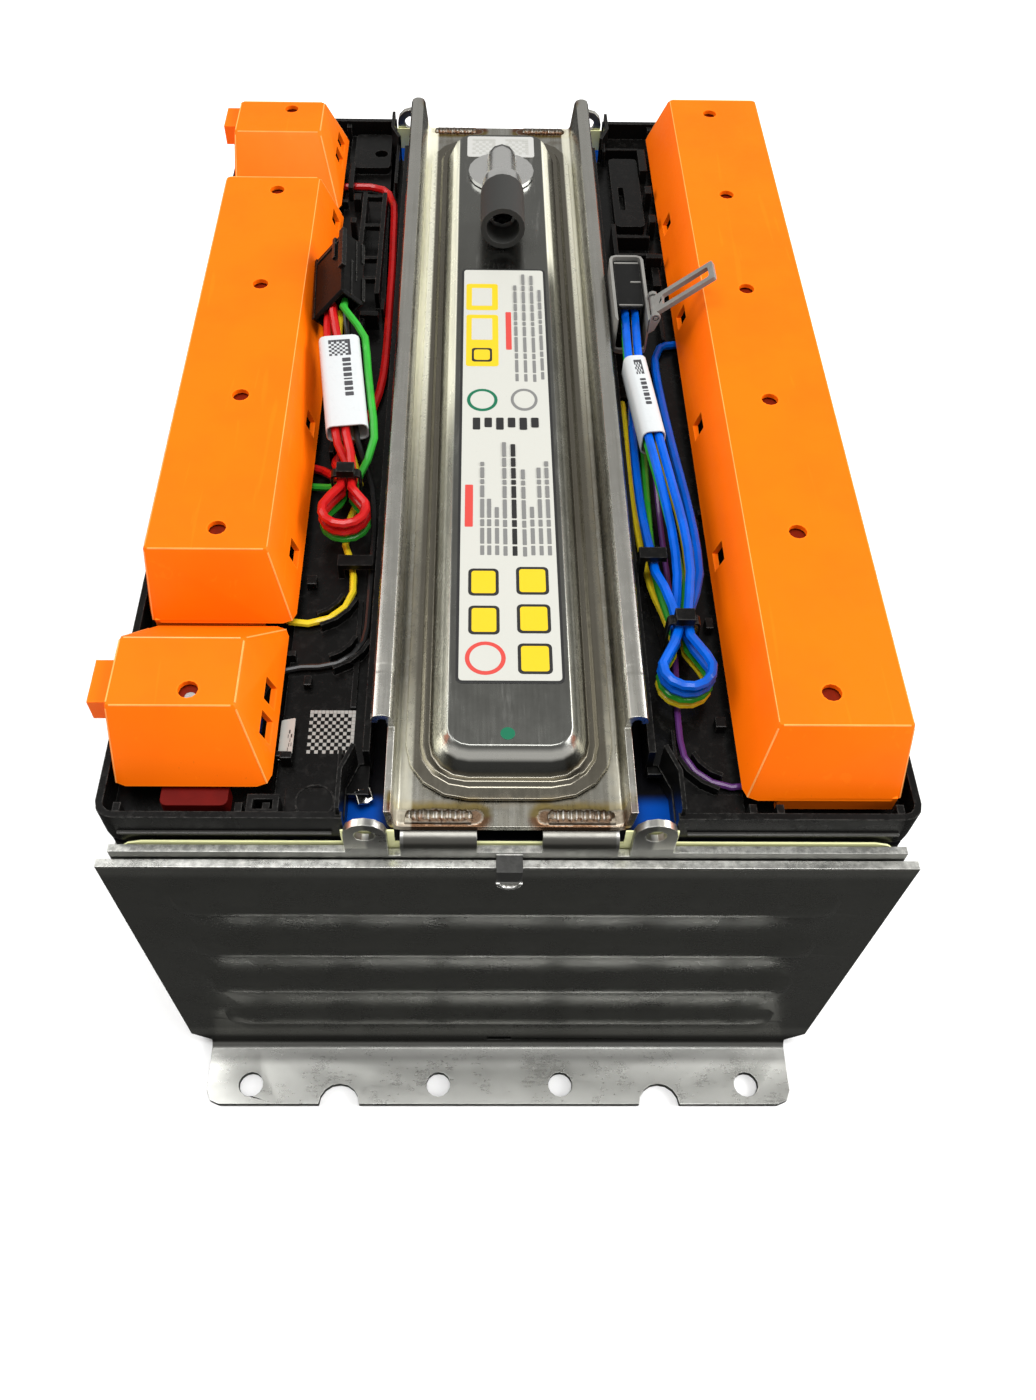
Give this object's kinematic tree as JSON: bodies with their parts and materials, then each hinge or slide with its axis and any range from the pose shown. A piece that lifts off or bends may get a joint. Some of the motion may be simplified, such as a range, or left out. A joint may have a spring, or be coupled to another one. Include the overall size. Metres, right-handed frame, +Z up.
{
  "type": "battery module",
  "caption": "Prismatic-cell traction battery module with beaded steel end plates, busbar covers, a central vent channel and sense-wire harnesses.",
  "frame": {"origin": "centre of the footprint, on the mounting plane under the flanges", "axes": "+X across the module to its right, +Y from the front end plate to the rear one, +Z up"},
  "size_m": [0.178, 0.3212, 0.1517],
  "materials": {
    "pressed_steel": "dark grey coated steel, satin",
    "bright_steel": "bright zinc-plated sheet, satin",
    "busbar_aluminium": "satin",
    "orange_plastic": "moulded, fine texture",
    "black_plastic": "moulded, satin",
    "grey_plastic": "moulded, satin",
    "red_plastic": "moulded, satin",
    "blue_film": "thin film, glossy",
    "yellow_foil": "thin film, satin",
    "white_sleeve": "thin film, satin",
    "black_rubber": "matt",
    "red_wire": "wire insulation",
    "green_wire": "wire insulation",
    "yellow_wire": "wire insulation",
    "black_wire": "wire insulation",
    "blue_wire": "wire insulation",
    "purple_wire": "wire insulation"
  },
  "bodies": {
    "module": {"cell_1": "blue_film", "cell_2": "blue_film", "cell_3": "blue_film", "cell_4": "blue_film", "cell_5": "blue_film", "cell_6": "blue_film", "cell_spacer_1": "white_sleeve", "cell_spacer_2": "white_sleeve", "cell_spacer_3": "white_sleeve", "cell_spacer_4": "white_sleeve", "cell_spacer_5": "white_sleeve", "left_label_sleeve": "white_sleeve", "right_label_sleeve": "white_sleeve", "front_outer_end_plate": "pressed_steel", "rear_outer_end_plate": "pressed_steel", "left_side_plate": "pressed_steel", "right_side_plate": "pressed_steel", "front_inner_end_plate": "bright_steel", "rear_inner_end_plate": "bright_steel", "channel": "bright_steel", "vent_pan": "bright_steel", "vent_elbow": "bright_steel", "clamp_ring": "bright_steel", "front_terminal_screw": "bright_steel", "rear_terminal_screw": "bright_steel", "front_insulating_foil": "yellow_foil", "rear_insulating_foil": "yellow_foil", "vent_sleeve": "black_rubber", "left_carrier": "black_plastic", "right_carrier": "black_plastic", "left_connector": "black_plastic", "right_connector_body": "black_plastic", "left_cable_tie": "black_plastic", "right_cable_tie": "black_plastic", "right_cover": "orange_plastic", "left_cover": "orange_plastic", "front_left_cover": "orange_plastic", "rear_left_cover": "orange_plastic", "right_busbar_1": "busbar_aluminium", "right_busbar_2": "busbar_aluminium", "right_busbar_3": "busbar_aluminium", "left_busbar_1": "busbar_aluminium", "left_busbar_2": "busbar_aluminium", "front_terminal_bar": "busbar_aluminium", "rear_terminal_bar": "busbar_aluminium", "front_terminal_block": "red_plastic", "rear_terminal_block": "red_plastic", "right_connector_frame": "grey_plastic", "left_red_wire_1": "red_wire", "left_red_wire_2": "red_wire", "left_green_wire": "green_wire", "right_green_wire": "green_wire", "left_yellow_wire": "yellow_wire", "right_yellow_wire": "yellow_wire", "left_black_wire": "black_wire", "right_blue_wire_1": "blue_wire", "right_blue_wire_2": "blue_wire", "right_purple_wire": "purple_wire"},
    "latch": {"latch": "grey_plastic"}
  },
  "joints": [
    {"name": "latch_hinge", "type": "hinge", "parent": "module", "child": "latch", "pos_m": [0.0417, 0.01825, 0.1392], "axis": [0, -1, 0], "range_deg": [0, 128]}
  ]
}
